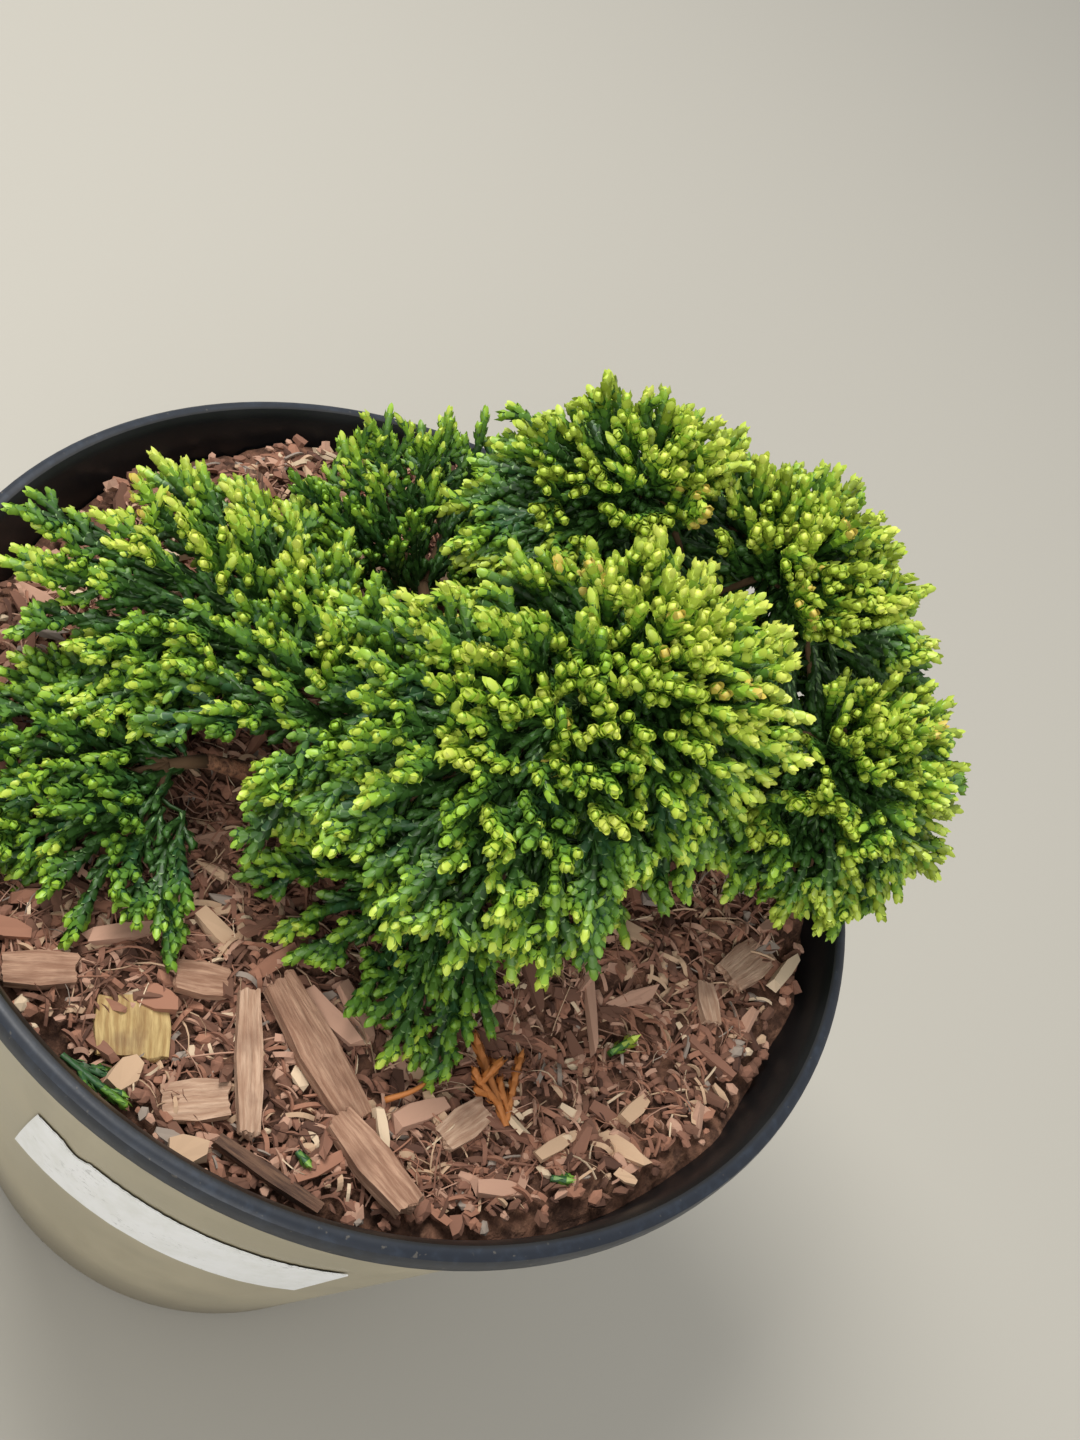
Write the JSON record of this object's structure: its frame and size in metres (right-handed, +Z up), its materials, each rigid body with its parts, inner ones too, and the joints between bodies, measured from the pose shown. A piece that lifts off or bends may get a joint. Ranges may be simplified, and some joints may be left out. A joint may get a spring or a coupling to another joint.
{
  "type": "dwarf potted conifer",
  "caption": "Low spreading dwarf conifer with cupped shell-shaped sprays of blunt scale leaves, in a round tapering nursery pot of bark compost with a blank sticker",
  "frame": {"origin": "centre of the pot's flat underside, on the surface that the pot stands on", "axes": "+Z up the pot and the trunk; +Y towards the back of the crown, away from the side with the sticker; +X to the right of that front"},
  "size_m": [0.1582, 0.1608, 0.1752],
  "materials": {
    "pot": "semi-gloss moulded plastic, dusty",
    "sticker": "satin coated paper, worn",
    "compost": "rough damp bark and fibre",
    "chip": "rough split wood",
    "bark": "flaking bark",
    "foliage": "waxy scale leaves"
  },
  "bodies": {
    "root": {"bough_back": "bark", "bough_back_left": "bark", "bough_back_low": "bark", "bough_back_right": "bark", "bough_front": "bark", "bough_front_left": "bark", "bough_front_upper": "bark", "bough_left": "bark", "bough_left_low": "bark", "bough_right": "bark", "bough_right_low": "bark", "compost": "compost", "foliage_back": "foliage", "foliage_back_left": "foliage", "foliage_back_low": "foliage", "foliage_back_right": "foliage", "foliage_centre_back": "foliage", "foliage_centre_front": "foliage", "foliage_front": "foliage", "foliage_front_left": "foliage", "foliage_left": "foliage", "foliage_left_low": "foliage", "foliage_right": "foliage", "foliage_right_low": "foliage", "pot": "pot", "sticker": "sticker", "trunk": "bark", "wood_chip_01": "chip", "wood_chip_02": "chip", "wood_chip_03": "chip", "wood_chip_04": "chip", "wood_chip_05": "chip", "wood_chip_06": "chip", "wood_chip_07": "chip", "wood_chip_08": "chip", "wood_chip_09": "chip", "wood_chip_10": "chip", "wood_chip_11": "chip", "wood_chip_12": "chip", "wood_chip_13": "chip", "wood_chip_14": "chip"}
  },
  "joints": []
}
